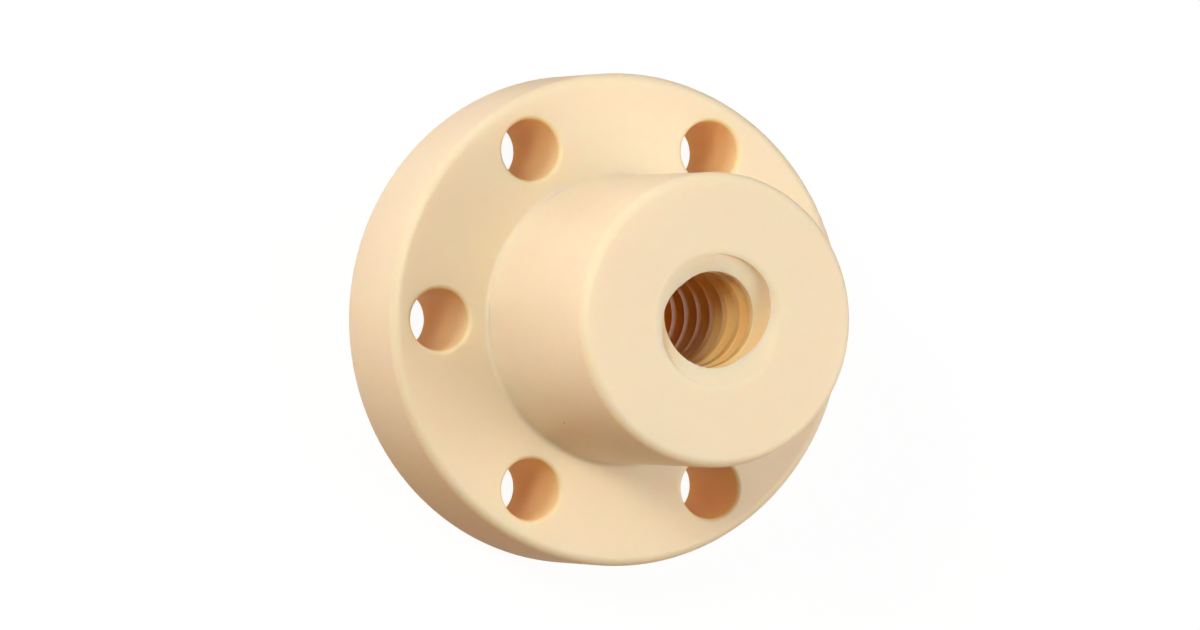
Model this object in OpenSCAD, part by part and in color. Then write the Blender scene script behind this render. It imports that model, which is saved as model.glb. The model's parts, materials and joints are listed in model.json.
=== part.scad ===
// Flanged lead screw nut, turned and tapped from one piece of warm cream bearing plastic.
// The nut stands on its flange: z = 0 is the flange's back face and the hub rises along +Z.

/* [Screw] */
// Nominal diameter of the lead screw
screw_d = 12; // [10:0.4:16]
// Distance from one thread ridge to the next
pitch = 3; // [2:0.1:4]
// Threads wound side by side, so the lead is starts x pitch
starts = 2; // [1:1:4]
// Room between the screw's crest and the nut's groove, on the radius
root_gap = 0.25; // [0.15:0.05:0.5]
// How far the nut's crests stand back from the basic profile, on the radius
crest_gap = 0.1; // [0:0.05:0.15]
// Angle at which a groove's middle leaves the nose
thread_turn = 74; // [0:1:359]

/* [Mouths] */
// How far each countersink reaches past the screw's radius
mouth_lip = 0.5; // [0.3:0.05:1.5]
// Included angle of the countersinks
mouth_angle = 120; // [90:5:130]
// Rounding where a countersink meets the end face
mouth_edge = 1.5; // [0.3:0.1:2]

/* [Hub] */
// Outside diameter of the hub
hub_d = 28; // [23:0.1:34]
// Overall length from the flange's back to the nose
length = 35; // [24:0.1:60]
// Rounding of the nose's outer edge
nose_edge = 0.9; // [0.3:0.1:2]
// Fillet at the foot of the hub
hub_fillet = 0.5; // [0.2:0.1:1.2]

/* [Flange] */
// Width of the flange's ring outside the hub
flange_ring = 10; // [8.5:0.1:16]
// Thickness of the flange
flange_t = 12; // [6:0.1:16]
// Rounding of both rims
rim_edge = 0.9; // [0.3:0.1:1.2]

/* [Screw holes] */
// Number of fixing holes
hole_count = 6; // [3:1:8]
// Diameter of the fixing holes
hole_d = 6; // [4:0.1:7.4]
// Chamfer on both edges of each hole
hole_chamfer = 0.3; // [0.1:0.05:0.6]

/* [Hidden] */
$fn = 96;
plastic = [0.94, 0.86, 0.73];

// trapezoidal thread, 30 degrees between its flanks
flank = 15;
lead = starts * pitch;
mid_r = screw_d / 2 - pitch / 4;
crest_r = screw_d / 2 - pitch / 2 + crest_gap;
root_r = screw_d / 2 + root_gap;
mid_half = pitch / 4;
steps = 36;
// how far a groove's cutter reaches inside the crests
reach = 0.3;

hub_r = hub_d / 2;
flange_r = hub_r + flange_ring;
hole_pcr = hub_r + flange_ring / 2;
mouth_r = screw_d / 2 + mouth_lip;
mouth_slope = 90 - mouth_angle / 2;
mouth_depth = (mouth_r - crest_r) * tan(mouth_slope);
over = 1;

// a straight-sided band from z0 to z1 with rounded outer corners
module band(r, z0, z1, e0, e1) {
  difference() {
    translate([0, z0]) square([r, z1 - z0]);
    translate([r, z0]) corner(e0, 1);
    translate([r, z1]) corner(e1, -1);
  }
}

// what a rounding takes off an outer corner; up is 1 at a foot and -1 at a top
module corner(e, up) {
  if (e > 0) difference() {
    translate([-e, up > 0 ? -over : -e]) square([e + over, e + over]);
    translate([-e, up * e]) circle(e);
  }
}

// the small quarter that fills the angle at the foot of the hub
module foot(r, z, e) {
  difference() {
    translate([r - over, z - over]) square([e + over, e + over]);
    translate([r + e, z + e]) circle(e);
  }
}

// half-section of one countersink at the end face z = 0, opening upward
module mouth() {
  run = mouth_edge * tan(mouth_slope / 2);
  deep = [mouth_r - run * cos(mouth_slope), -run * sin(mouth_slope)];
  polygon([[0, over], [mouth_r, over], [mouth_r, 0], [crest_r, -mouth_depth], [0, -mouth_depth]]);
  difference() {
    polygon([[crest_r, over], [mouth_r + run, over], [mouth_r + run, 0], deep, [crest_r, deep[1]]]);
    translate([mouth_r + run, -mouth_edge]) circle(mouth_edge);
  }
}

// half-section of the whole nut before threading
module section() {
  difference() {
    union() {
      band(flange_r, 0, flange_t, rim_edge, rim_edge);
      band(hub_r, 0, length, 0, nose_edge);
      foot(hub_r, flange_t, hub_fillet);
    }
    translate([-over, -over]) square([over + crest_r, length + 2 * over]);
    translate([0, length]) mouth();
    mirror([0, 1]) mouth();
  }
}

// one fixing hole's cutter, chamfered into both faces
module hole() {
  r = hole_d / 2;
  rotate_extrude() {
    translate([0, -over]) square([r, flange_t + 2 * over]);
    translate([0, flange_t]) countersink(r);
    mirror([0, 1]) countersink(r);
  }
}

// what the chamfer at the face y = 0 takes off a hole's edge
module countersink(r) {
  polygon([[0, -hole_chamfer], [r, -hole_chamfer], [r + hole_chamfer + over, over], [0, over]]);
}

// one groove of the thread, wound right-handed from below the back to above the nose
module groove(at) {
  inner = crest_r - reach;
  half_in = mid_half + (mid_r - inner) * tan(flank);
  half_out = mid_half - (root_r - mid_r) * tan(flank);
  ring = [[inner, -half_in], [root_r, -half_out], [root_r, half_out], [inner, half_in]];
  first = floor((-pitch - length) / lead * steps);
  last = ceil(pitch / lead * steps);
  count = last - first;
  points = [for (i = [first:last]) for (p = ring)
    let (a = at + i * 360 / steps)
    [p[0] * cos(a), p[0] * sin(a), length + i * lead / steps + p[1]]];
  sides = [for (i = [0:count - 1]) for (k = [0:3])
    let (a = 4 * i + k, b = 4 * i + (k + 1) % 4)
    for (t = [[a, b, a + 4], [b, b + 4, a + 4]]) t];
  ends = [[3, 2, 1, 0], [for (k = [0:3]) 4 * count + k]];
  polyhedron(points = points, faces = concat(ends, sides), convexity = 20);
}

module nut() {
  color(plastic) difference() {
    rotate_extrude() section();
    for (k = [0:hole_count - 1]) rotate([0, 0, k * 360 / hole_count])
      translate([hole_pcr, 0, 0]) hole();
    for (k = [0:starts - 1]) groove(thread_turn + k * 360 / starts);
  }
}

nut();
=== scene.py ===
"""The looks of a flanged lead screw nut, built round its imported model: the nut itself and its stage."""
import json
import math

import bpy
from bpy.props import FloatProperty, FloatVectorProperty, IntProperty, PointerProperty
from mathutils import Matrix, Vector


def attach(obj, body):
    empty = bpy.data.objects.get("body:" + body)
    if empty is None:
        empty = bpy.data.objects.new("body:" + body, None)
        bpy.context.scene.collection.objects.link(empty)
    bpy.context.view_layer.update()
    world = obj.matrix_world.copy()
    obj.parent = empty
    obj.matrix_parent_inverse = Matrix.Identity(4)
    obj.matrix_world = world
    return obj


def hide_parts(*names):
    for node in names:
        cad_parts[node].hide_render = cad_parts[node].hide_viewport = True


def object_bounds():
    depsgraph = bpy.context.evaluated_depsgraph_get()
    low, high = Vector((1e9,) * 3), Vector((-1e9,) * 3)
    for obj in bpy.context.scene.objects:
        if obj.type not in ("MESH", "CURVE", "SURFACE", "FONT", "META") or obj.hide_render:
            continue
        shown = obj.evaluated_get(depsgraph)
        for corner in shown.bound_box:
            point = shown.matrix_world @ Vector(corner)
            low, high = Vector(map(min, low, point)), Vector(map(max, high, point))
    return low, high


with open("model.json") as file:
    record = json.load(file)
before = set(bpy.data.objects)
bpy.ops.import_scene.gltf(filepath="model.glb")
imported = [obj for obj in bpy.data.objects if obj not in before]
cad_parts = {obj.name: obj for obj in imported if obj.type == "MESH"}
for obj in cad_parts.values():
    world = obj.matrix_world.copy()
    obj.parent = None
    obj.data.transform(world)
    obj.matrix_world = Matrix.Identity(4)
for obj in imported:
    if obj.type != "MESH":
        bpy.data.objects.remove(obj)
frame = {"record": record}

bl_info = {
    "name": "Lead Screw Nut",
    "version": (1, 0, 0),
    "blender": (4, 5, 0),
    "location": "3D View > Sidebar > Lead Nut",
    "description": "Builds a flanged lead screw nut of turned bearing plastic, and a plain stage for it",
    "category": "Object",
}

MM = 0.001
CAD_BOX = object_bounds()
FOOT, TOP = CAD_BOX[0].z, CAD_BOX[1].z
MOUNTS = {mount["name"]: mount for mount in frame["record"]["mounts"]}
CUT_FINISH_AND_SHADE = "cut_wall"  # the mesh attribute that tells the plastic where tap and drill have been; it also carries a painted shade, a deeper colour inside the bore and the screw holes
DRILLED = 0.65  # its value on a drilled wall, which stays rougher than a tapped one at 1 and takes less of the painted shade


def dims(mount, key):
    """One measure of a mount, in metres."""
    return MOUNTS[mount]["dims"][key] * MM


def linear(hex_colour):
    """A scene-linear colour from an sRGB hex value such as "#F2DFC1"."""
    channels = (int(hex_colour[i:i + 2], 16) / 255 for i in (1, 3, 5))
    return tuple(c / 12.92 if c <= 0.04045 else ((c + 0.055) / 1.055) ** 2.4 for c in channels)


def length(name, description, default):
    return FloatProperty(name=name, description=description, default=default, min=0, unit="LENGTH", precision=5)


def angle(name, description, default):
    return FloatProperty(name=name, description=description, default=math.radians(default), subtype="ANGLE")


def lamp_strength(name, description, default):
    return FloatProperty(name=name, description=description, default=default, min=0)


def colour(name, description, hex_colour):
    return FloatVectorProperty(
        name=name, description=description, subtype="COLOR", size=3, min=0, max=1, default=linear(hex_colour))


class NutBody(bpy.types.PropertyGroup):
    """What the lathe and the drill make: the flange, the hub, the countersinks and the screw holes."""
    hub_radius: length("Hub radius", "Outside radius of the hub", dims("hub", "r_mm"))
    flange_radius: length("Flange radius", "Outside radius of the flange", CAD_BOX[1].x)
    flange_top: length("Flange top", "Height of the flange's front face", MOUNTS["flange_front"]["pos_m"][2])
    rim_edge: length("Rim edge", "Rounding of both rims of the flange", 0.9 * MM)
    nose_edge: length("Nose edge", "Rounding of the nose's outer edge", 0.9 * MM)
    hub_fillet: length("Hub fillet", "Fillet at the foot of the hub", 0.5 * MM)
    mouth_lip: length("Mouth lip", "How far a countersink reaches past the screw's radius", 0.5 * MM)
    mouth_angle: angle("Mouth angle", "Included angle of the countersinks", 120)
    mouth_edge: length("Mouth edge", "Rounding where a countersink meets the end face", 1.5 * MM)
    hole_count: IntProperty(
        name="Screw holes", description="Number of screw holes", min=1,
        default=MOUNTS["screws"]["dims"]["count"])
    hole_circle: length("Hole circle", "Radius of the circle of screw holes", dims("screws", "pcd_mm") / 2)
    hole_radius: length("Hole radius", "Radius of a screw hole", dims("screws", "hole_r_mm"))
    hole_edge: length("Hole edge", "Rounding of the screw holes' edges", 0.45 * MM)


class NutThread(bpy.types.PropertyGroup):
    """What the tap cuts: a right-handed trapezoidal thread."""
    crest_radius: length("Crest radius", "Radius of the nut's thread crests", dims("thread", "r_mm"))
    screw_radius: length("Screw radius", "Nominal radius of the lead screw", 6 * MM)
    root_gap: length("Root gap", "Room past the screw's crests at the bottom of a groove", 0.25 * MM)
    pitch: length("Pitch", "Distance from one ridge to the next", 3 * MM)
    starts: IntProperty(name="Starts", description="Threads wound side by side", default=2, min=1)
    flank: angle("Flank angle", "Slope of each flank from a plane across the screw", 15)
    turn: angle("Turn", "Angle at which a groove's middle leaves the nose", 74)
    crest_edge: length("Crest edge", "Rounding along the crests", 0.12 * MM)
    root_edge: length("Root edge", "Rounding in the bottom corners of a groove", 0.2 * MM)


class NutPlastic(bpy.types.PropertyGroup):
    """The plastic, what the tools left on it, and a painted shade on the cut walls."""
    base: colour("Plastic", "Colour of the plastic", "#F6E3C2")
    # The cut walls' colour is a painted shade: a deeper, warmer colour inside the bore and the screw holes.
    cut: colour(
        "Cut walls", "Colour of the walls that drill and tap left, where light goes in deeper", "#FFD38E")
    speck: colour("Specks", "Colour of the odd dark grain in the plastic", "#8A6238")


class NutStage(bpy.types.PropertyGroup):
    """The floor and the lamps."""
    floor: colour("Floor", "Colour of the floor's board", "#8C857C")
    panel: colour("Floor light", "Colour of the light that comes through the board", "#FFC88C")
    panel_level: lamp_strength("Floor light level", "Strength of the light that comes through the board", 0.55)
    key: lamp_strength("Key", "Strength of the lamp at the upper left", 1.6)
    low: lamp_strength("Low", "Strength of the low lamp beside the key", 1.78)
    front: lamp_strength("Front", "Strength of the lamp at the lower right", 1.5)
    back: lamp_strength("Back", "Strength of the high lamp at the upper right", 0.73)
    side: lamp_strength("Side", "Strength of the low lamp on the right", 0.5)


def rounded(outline, step=math.radians(7.5)):
    """The points of an outline given as (x, y) or (x, y, radius), each corner with a radius made an arc."""
    points = []
    for i, (x, y, *radius) in enumerate(outline):
        corner = Vector((x, y))
        if not radius:
            points.append(corner)
            continue
        before = (Vector(outline[i - 1][:2]) - corner).normalized()
        after = (Vector(outline[i + 1][:2]) - corner).normalized()
        turn = math.pi - before.angle(after)
        centre = corner + (before + after).normalized() * radius[0] / math.cos(turn / 2)
        spoke = corner + before * radius[0] * math.tan(turn / 2) - centre
        sign = 1 if spoke.cross(after - before) > 0 else -1
        count = max(2, math.ceil(turn / step))
        for k in range(count + 1):
            points.append(centre + Matrix.Rotation(sign * turn * k / count, 2) @ spoke)
    return points


def make_object(name, vertices, faces):
    mesh = bpy.data.meshes.new(name)
    mesh.from_pydata(vertices, [], faces)
    piece = bpy.data.objects.new(name, mesh)
    bpy.context.collection.objects.link(piece)
    return piece


def revolve(name, outline, count):
    """A closed solid turned round Z from an outline of (radius, height) that starts and ends on the axis."""
    first, *ring, last = outline
    vertices = [(0, 0, first.y), (0, 0, last.y)]
    for k in range(count):
        a = math.tau * k / count
        vertices += [(p.x * math.cos(a), p.x * math.sin(a), p.y) for p in ring]
    faces = []
    for k in range(count):
        here, there = 2 + k * len(ring), 2 + (k + 1) % count * len(ring)
        faces.append((0, there, here))
        faces.append((here + len(ring) - 1, there + len(ring) - 1, 1))
        faces += [(here + j, there + j, there + j + 1, here + j + 1) for j in range(len(ring) - 1)]
    return make_object(name, vertices, faces)


def turned_outline(body, thread):
    """Half-section of the nut as the lathe leaves it, with countersinks and no bore. Each countersink ends
    in a flat plug, which the tap takes out."""
    mouth_radius = thread.screw_radius + body.mouth_lip
    slope = math.pi / 2 - body.mouth_angle / 2
    plug = 0.8 * thread.crest_radius
    sink = (mouth_radius - plug) * math.tan(slope)
    return rounded([
        (0, FOOT + sink),
        (plug, FOOT + sink),
        (mouth_radius, FOOT, body.mouth_edge),
        (body.flange_radius, FOOT, body.rim_edge),
        (body.flange_radius, body.flange_top, body.rim_edge),
        (body.hub_radius, body.flange_top, body.hub_fillet),
        (body.hub_radius, TOP, body.nose_edge),
        (mouth_radius, TOP, body.mouth_edge),
        (plug, TOP - sink),
        (0, TOP - sink),
    ])


def drill_outline(body):
    """Half-section of the cutter for one screw hole, flared at both faces to ease the hole's edges. The circle
    of each eased edge just touches the face."""
    flare = math.radians(10)
    run = 5 * body.hole_edge
    dip = body.hole_edge * (1 - math.tan(math.pi / 4 - flare / 2))
    wide, past = body.hole_radius + run * math.cos(flare), run * math.sin(flare) - dip
    low, high = FOOT + dip, body.flange_top - dip
    return rounded([
        (0, FOOT - past),
        (wide, FOOT - past),
        (body.hole_radius, low, body.hole_edge),
        (body.hole_radius, high, body.hole_edge),
        (wide, body.flange_top + past),
        (0, body.flange_top + past),
    ])


def groove_outline(thread):
    """One pitch of the tap's edge as (distance along the screw, radius), from a groove's middle to the next."""
    pitch, crest = thread.pitch, thread.crest_radius
    root = thread.screw_radius + thread.root_gap
    middle = thread.screw_radius - pitch / 4
    half_root = pitch / 4 - (root - middle) * math.tan(thread.flank)
    half_mouth = pitch / 4 + (middle - crest) * math.tan(thread.flank)
    half = rounded([
        (0, root),
        (half_root, root, thread.root_edge),
        (half_mouth, crest, thread.crest_edge),
        (pitch / 2, crest),
    ], math.radians(20))
    return half + [Vector((pitch - p.x, p.y)) for p in reversed(half[1:-1])]


def make_tap(thread, columns=160, margin=1.5 * MM):
    """The space inside the threaded bore as one closed solid, longer than the nut by a margin at both ends.

    Its mesh lines follow the thread. Past the margin the grooves fade out, so that the ends are plain.
    """
    edge = groove_outline(thread)
    lead = thread.starts * thread.pitch
    low, high = FOOT - margin, TOP + margin
    first = math.floor((low - TOP - 2 * lead) / thread.pitch)
    last = math.ceil((high - TOP + lead) / thread.pitch)
    rows = [(p.x + n * thread.pitch, p.y) for n in range(first, last) for p in edge]
    shift = thread.starts * len(edge)
    vertices = []
    for k in range(columns):
        a = math.tau * k / columns
        for along, radius in rows:
            z = TOP + along + lead * k / columns
            outside = max(low - z, z - high, 0)
            r = max(thread.crest_radius, radius - outside)
            vertices.append((r * math.cos(a + thread.turn), r * math.sin(a + thread.turn), z))

    def at(k, j):
        """The vertex at a column and row; past the last column it is the first one's, a lead further on."""
        return k * len(rows) + j if k < columns else j + shift

    faces = []
    for k in range(columns):
        count = len(rows) - 1 if k < columns - 1 else len(rows) - 1 - shift
        faces += [(at(k, j), at(k + 1, j), at(k + 1, j + 1), at(k, j + 1)) for j in range(count)]
    top_row = len(rows) - 1
    bottom = [at(k, 0) for k in range(columns)] + [at(0, j) for j in range(shift, 0, -1)]
    top = [at(k, top_row) for k in range(columns)] + [at(columns - 1, top_row - j) for j in range(1, shift + 1)]
    for loop, turn_over in ((bottom, True), (top, False)):
        hub = len(vertices)
        vertices.append((0, 0, sum(vertices[v][2] for v in loop) / len(loop)))
        for v, w in zip(loop, loop[1:] + loop[:1]):
            faces.append((hub, w, v) if turn_over else (hub, v, w))
    return make_object("tap", vertices, faces)


def cut(piece, cutter):
    """Takes the cutter's shape out of the piece, and the cutter away."""
    change = piece.modifiers.new("cut", "BOOLEAN")
    change.operation, change.solver, change.object = "DIFFERENCE", "MANIFOLD", cutter
    settle(piece)
    bpy.data.objects.remove(cutter)


def settle(piece):
    """Makes a piece's modifiers part of its mesh."""
    bpy.context.view_layer.update()
    mesh = bpy.data.meshes.new_from_object(piece.evaluated_get(bpy.context.evaluated_depsgraph_get()))
    piece.modifiers.clear()
    old, piece.data = piece.data, mesh
    mesh.name = old.name
    bpy.data.meshes.remove(old)


def smooth(piece, crease=math.radians(28)):
    """Shades the piece smooth between its sharp edges, with its broad faces kept flat."""
    piece.data.shade_smooth()
    piece.data.set_sharp_from_angle(angle=crease)
    weigh = piece.modifiers.new("weigh", "WEIGHTED_NORMAL")
    weigh.keep_sharp = True
    weigh.weight = 50
    settle(piece)


def mark_cut_finish_and_painted_shade(nut, body, thread, shade_and_finish_from=1.2 * MM, shade_and_finish_over=2 * MM):
    """Writes how far a wall has the finish that tap and drill leave, fading to 0 at the mouths of the bore
    and of the screw holes. The same value lays on a painted shade, a deeper and warmer colour that grows with
    depth inside the bore and the holes."""
    mouth = thread.screw_radius + body.mouth_lip
    step = math.tau / body.hole_count
    marks = nut.data.attributes.new(CUT_FINISH_AND_SHADE, "FLOAT", "POINT").data
    for mark, vertex in zip(marks, nut.data.vertices):
        x, y, z = vertex.co
        radius, turned = math.hypot(x, y), round(math.atan2(y, x) / step) * step
        off = math.hypot(x - body.hole_circle * math.cos(turned), y - body.hole_circle * math.sin(turned))
        if radius < mouth:
            depth = min(TOP - z, z - FOOT)
            mark.value = min(max((depth - shade_and_finish_from) / shade_and_finish_over, 0), 1)
        elif off < body.hole_radius + body.hole_edge:
            mark.value = DRILLED * min(max(1 - (off - body.hole_radius) / body.hole_edge, 0), 1)


def new_material(name):
    material = bpy.data.materials.new(name)
    material.use_nodes = True
    material.node_tree.nodes.clear()
    return material


def add(tree, kind, settings=None, **inputs):
    """Adds a node; each input is a value, or a socket to link from. Underscores stand for spaces."""
    node = tree.nodes.new("ShaderNode" + kind)
    for name, value in (settings or {}).items():
        setattr(node, name, value)
    for name, value in inputs.items():
        socket = node.inputs[int(name[1:])] if name[1:].isdigit() else node.inputs[name.replace("_", " ")]
        if isinstance(value, bpy.types.NodeSocket):
            tree.links.new(value, socket)
        else:
            socket.default_value = value
    return node


def bearing_plastic(look):
    """Acetal bearing plastic, turned: a warm cream body that light enters a little way, so shaded sides
    stay warm, with a soft satin gloss and an odd dark grain. Inside the bore and the screw holes the shade is
    also painted in, as a deeper, warmer colour."""
    material = new_material("turned_acetal")
    tree = material.node_tree
    place = add(tree, "TexCoord").outputs["Object"]
    # Faint clouds 9 mm across, 1.5 per cent either way.
    cloud = add(tree, "TexNoise", Vector=place, Scale=1 / (9 * MM), Detail=3.0).outputs["Fac"]
    shade = add(tree, "MapRange", Value=cloud, From_Min=0.3, From_Max=0.7, To_Min=0.985, To_Max=1.015)
    # This mark blends in the cut walls' colour, a painted shade that deepens inside the bore and the holes.
    wall = add(tree, "Attribute", {"attribute_name": CUT_FINISH_AND_SHADE}).outputs["Fac"]
    body = add(tree, "Mix", {"data_type": "RGBA"}, _0=wall, _6=(*look.base, 1), _7=(*look.cut, 1)).outputs[2]
    plain = add(tree, "Mix", {"data_type": "RGBA", "blend_type": "MULTIPLY"},
                _0=1.0, _6=body, _7=shade.outputs["Result"]).outputs[2]
    # At most one dark grain in each 7 mm cell, 0.2 to 0.3 mm wide, and none on the cut walls.
    grain = add(tree, "TexVoronoi", Vector=place, Scale=1 / (7 * MM)).outputs["Distance"]
    spot = add(tree, "MapRange", Value=grain, From_Min=0.012, From_Max=0.022, To_Min=0.8, To_Max=0.0)
    outside = add(tree, "Math", {"operation": "SUBTRACT"}, _0=1.0, _1=wall).outputs[0]
    spot = add(tree, "Math", {"operation": "MULTIPLY"}, _0=spot.outputs["Result"], _1=outside).outputs[0]
    tone = add(tree, "Mix", {"data_type": "RGBA"}, _0=spot, _6=plain, _7=(*look.speck, 1)).outputs[2]
    # The fine trace of the cutting edge, drawn as coarse as it needs to be to break up the sheen.
    fine = add(tree, "TexNoise", Vector=place, Scale=1 / (0.25 * MM), Detail=2.0).outputs["Fac"]
    bump = add(tree, "Bump", Strength=0.12, Distance=0.02 * MM, Height=fine)
    # Satin on turned and drilled faces, smoother where the tap has burnished the thread.
    gloss = add(tree, "MapRange", Value=wall, From_Min=DRILLED, To_Min=0.45, To_Max=0.3).outputs["Result"]
    shader = add(tree, "BsdfPrincipled", {"subsurface_method": "RANDOM_WALK"},
                 Base_Color=tone, Roughness=gloss, IOR=1.48, Specular_IOR_Level=0.5,
                 Subsurface_Weight=0.7, Subsurface_Radius=(1.0, 0.6, 0.3), Subsurface_Scale=2.5 * MM,
                 Normal=bump.outputs[0])
    add(tree, "OutputMaterial", Surface=shader.outputs[0])
    return material


class LEADNUT_OT_nut(bpy.types.Operator):
    """Turn, drill and tap the nut in one piece"""
    bl_idname = "lead_nut.nut"
    bl_label = "Nut"
    bl_options = {"REGISTER", "UNDO"}

    def execute(self, context):
        body, thread = context.scene.nut_body, context.scene.nut_thread
        nut = revolve("turned_nut", turned_outline(body, thread), count=256)
        cut(nut, make_tap(thread))
        for k in range(body.hole_count):
            drill = revolve("drill", drill_outline(body), count=96)
            a = math.tau * k / body.hole_count
            drill.location = (body.hole_circle * math.cos(a), body.hole_circle * math.sin(a), 0)
            cut(nut, drill)
        smooth(nut)
        mark_cut_finish_and_painted_shade(nut, body, thread)
        nut.data.materials.clear()
        nut.data.materials.append(bearing_plastic(context.scene.nut_plastic))
        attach(nut, "root")
        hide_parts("nut")
        return {"FINISHED"}


def soft_lamp(name, strength, tint, azimuth, elevation, spread, sheen=True, distance=280 * MM):
    """A round soft box at an azimuth and elevation from the nose and as wide as its spread, all in degrees.
    Its strength is the light that reaches the nose; the flange, further off, gets a little less. A low one
    is kept out of the sheen, where its glare would bleach the faces that it grazes."""
    data = bpy.data.lights.new(name, "AREA")
    data.shape, data.size = "DISK", 2 * distance * math.tan(math.radians(spread / 2))
    data.energy, data.color = strength * math.pi * distance ** 2, linear(tint)
    lamp = bpy.data.objects.new(name, data)
    back = toward(azimuth, elevation)
    lamp.location = Vector((0, 0, TOP)) + back * distance
    lamp.rotation_euler = back.to_track_quat("Z", "Y").to_euler()
    lamp.visible_glossy = sheen
    bpy.context.collection.objects.link(lamp)


def toward(azimuth, elevation):
    """The direction at an azimuth, anticlockwise from +X, and an elevation, both in degrees."""
    a, e = math.radians(azimuth), math.radians(elevation)
    return Vector((math.cos(a) * math.cos(e), math.sin(a) * math.cos(e), math.sin(e)))


class LEADNUT_OT_stage(bpy.types.Operator):
    """Lay the floor, light the nut and place the camera"""
    bl_idname = "lead_nut.stage"
    bl_label = "Stage"
    bl_options = {"REGISTER", "UNDO"}

    def execute(self, context):
        stage, scene = context.scene.nut_stage, context.scene
        half = 3.0  # metres, past the edge of the view from any low angle
        corners = [(-half, -half, FOOT), (half, -half, FOOT), (half, half, FOOT), (-half, half, FOOT)]
        floor = make_object("floor", corners, [(0, 1, 2, 3)])
        floor.data.materials.append(white_floor(stage))
        scene.world = white_room()
        soft_lamp("key", stage.key, "#FFF5E2", 157, 46, 16)
        soft_lamp("low", stage.low, "#E0EDFF", 139, 15, 35, sheen=False)
        soft_lamp("front", stage.front, "#FFF0E2", 335, 42, 35)
        soft_lamp("back", stage.back, "#DCE8FF", 20, 66, 50)
        soft_lamp("side", stage.side, "#E0F4FF", 0, 20, 30)
        scene.camera = camera()
        scene.view_settings.view_transform = "Standard"
        return {"FINISHED"}


def seen(tree):
    """1 where the camera, a reflection or a view through something meets the surface, and 0 elsewhere."""
    path = add(tree, "LightPath").outputs
    either = add(tree, "Math", {"operation": "MAXIMUM"}, _0=path["Is Camera Ray"], _1=path["Is Glossy Ray"])
    return add(tree, "Math", {"operation": "MAXIMUM"},
               _0=either.outputs[0], _1=path["Is Transmission Ray"]).outputs[0]


def white_floor(stage, white=0.92, paper_white=0.9, glow_level=1.03):
    """A pale board lit from behind, most of all in the middle, under the bore: it lights the nut softly from
    below, holes included, shows in the sheen of the sides, and more so on the key lamp's side, keeps a faint
    shadow, and looks white itself."""
    material = new_material("lit_pale_board")
    tree = material.node_tree
    path = add(tree, "LightPath").outputs
    place = add(tree, "TexCoord").outputs["Object"]
    across = add(tree, "VectorMath", {"operation": "DOT_PRODUCT"}, _0=place, _1=toward(160, 0)).outputs["Value"]
    slope = add(tree, "MapRange", Value=across, From_Min=14 * MM, From_Max=34 * MM,
                To_Min=0.35, To_Max=1.5).outputs["Result"]
    off = add(tree, "VectorMath", {"operation": "LENGTH"}, _0=place).outputs["Value"]
    middle = add(tree, "MapRange", Value=off, From_Min=7 * MM, From_Max=12 * MM,
                 To_Min=2.5, To_Max=1.0).outputs["Result"]
    below = add(tree, "Math", {"operation": "MULTIPLY"}, _0=middle, _1=stage.panel_level).outputs[0]
    white_slope = add(tree, "Math", {"operation": "MULTIPLY"}, _0=middle, _1=slope).outputs[0]
    board = add(tree, "BsdfDiffuse", Color=(*stage.floor, 1)).outputs[0]
    light = add(tree, "Emission", Color=(*stage.panel, 1), Strength=below).outputs[0]
    lit = add(tree, "AddShader", _0=board, _1=light).outputs[0]
    sheen = add(tree, "Emission", Color=(1, 1, 1, 1), Strength=white_slope).outputs[0]
    paper = add(tree, "BsdfDiffuse", Color=(*[paper_white] * 3, 1)).outputs[0]
    glow = add(tree, "Emission", Color=(1, 1, 1, 1), Strength=glow_level).outputs[0]
    pale = add(tree, "MixShader", _0=white, _1=paper, _2=glow).outputs[0]
    look = add(tree, "Math", {"operation": "MAXIMUM"},
               _0=path["Is Camera Ray"], _1=path["Is Transmission Ray"]).outputs[0]
    seen_by_sheen = add(tree, "MixShader", _0=path["Is Glossy Ray"], _1=lit, _2=sheen).outputs[0]
    both = add(tree, "MixShader", _0=look, _1=seen_by_sheen, _2=pale)
    add(tree, "OutputMaterial", Surface=both.outputs[0])
    return material


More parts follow.
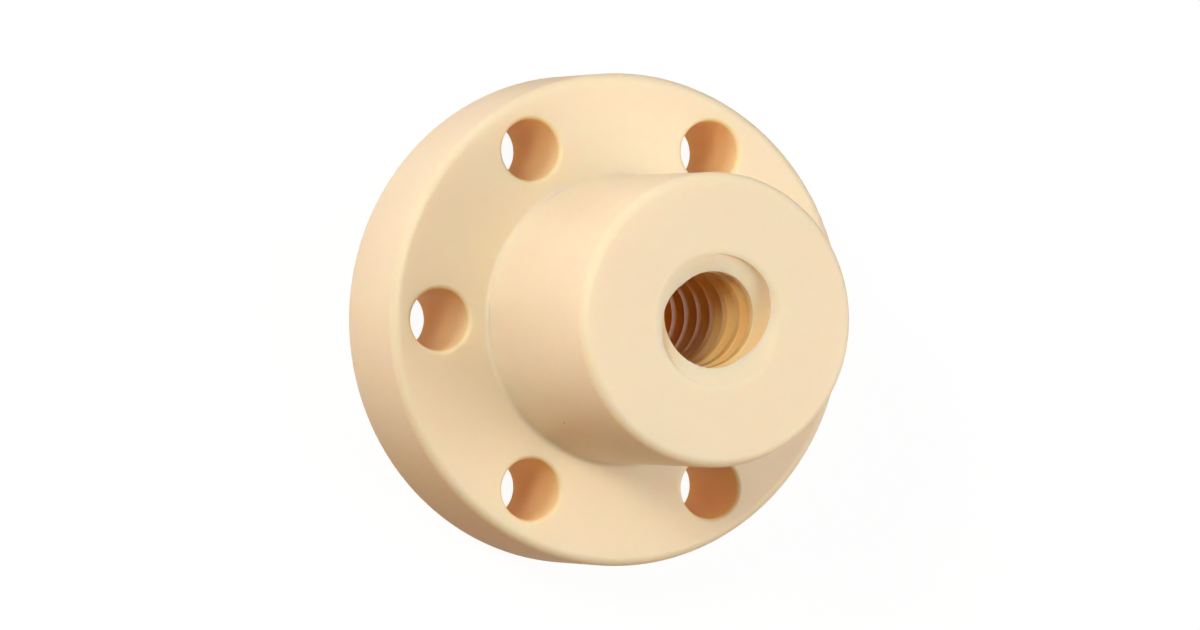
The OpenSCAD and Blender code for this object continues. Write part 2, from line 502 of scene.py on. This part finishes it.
def white_room():
    """A room that looks plain white, directly and in the plastic's sheen; the lamps do the lighting."""
    world = bpy.data.worlds.new("white_room")
    world.use_nodes = True
    tree = world.node_tree
    tree.nodes.clear()
    light = add(tree, "Background", Color=(1, 1, 1, 1), Strength=seen(tree))
    add(tree, "OutputWorld", Surface=light.outputs[0])
    return world


def camera():
    """A long lens above the nose, turned so that the hub leans to the right of the picture."""
    data = bpy.data.cameras.new("camera")
    data.lens = 235.7  # millimetres
    data.clip_start, data.clip_end = 0.01, 10
    view = bpy.data.objects.new("camera", data)
    back, distance = toward(-179.98, 66.58), 757.7 * MM
    aim = Vector((-4.62, 0.45, 17.5)) * MM
    turned = Matrix.Rotation(math.radians(90), 3, "Z").to_quaternion()
    view.rotation_euler = (back.to_track_quat("Z", "Y") @ turned).to_euler()
    view.location = aim + back * distance
    bpy.context.collection.objects.link(view)
    return view


class LEADNUT_PT_panel(bpy.types.Panel):
    """The lead screw nut's sizes and steps"""
    bl_idname = "LEADNUT_PT_panel"
    bl_label = "Lead Screw Nut"
    bl_space_type = "VIEW_3D"
    bl_region_type = "UI"
    bl_category = "Lead Nut"

    def draw(self, context):
        for title, operator, groups in (("Nut", "lead_nut.nut", ("nut_body", "nut_thread", "nut_plastic")),
                                        ("Stage", "lead_nut.stage", ("nut_stage",))):
            box = self.layout.box()
            box.label(text=title)
            for group in groups:
                values = getattr(context.scene, group)
                for name in values.__annotations__:
                    box.prop(values, name)
            box.operator(operator)


GROUPS = {"nut_body": NutBody, "nut_thread": NutThread, "nut_plastic": NutPlastic, "nut_stage": NutStage}
CLASSES = (*GROUPS.values(), LEADNUT_OT_nut, LEADNUT_OT_stage, LEADNUT_PT_panel)


def register():
    for cls in CLASSES:
        bpy.utils.register_class(cls)
    for name, group in GROUPS.items():
        setattr(bpy.types.Scene, name, PointerProperty(type=group))


def unregister():
    for name in GROUPS:
        delattr(bpy.types.Scene, name)
    for cls in reversed(CLASSES):
        bpy.utils.unregister_class(cls)


def main():
    register()
    bpy.ops.lead_nut.nut()
    bpy.ops.lead_nut.stage()


if __name__ == "__main__":
    main()
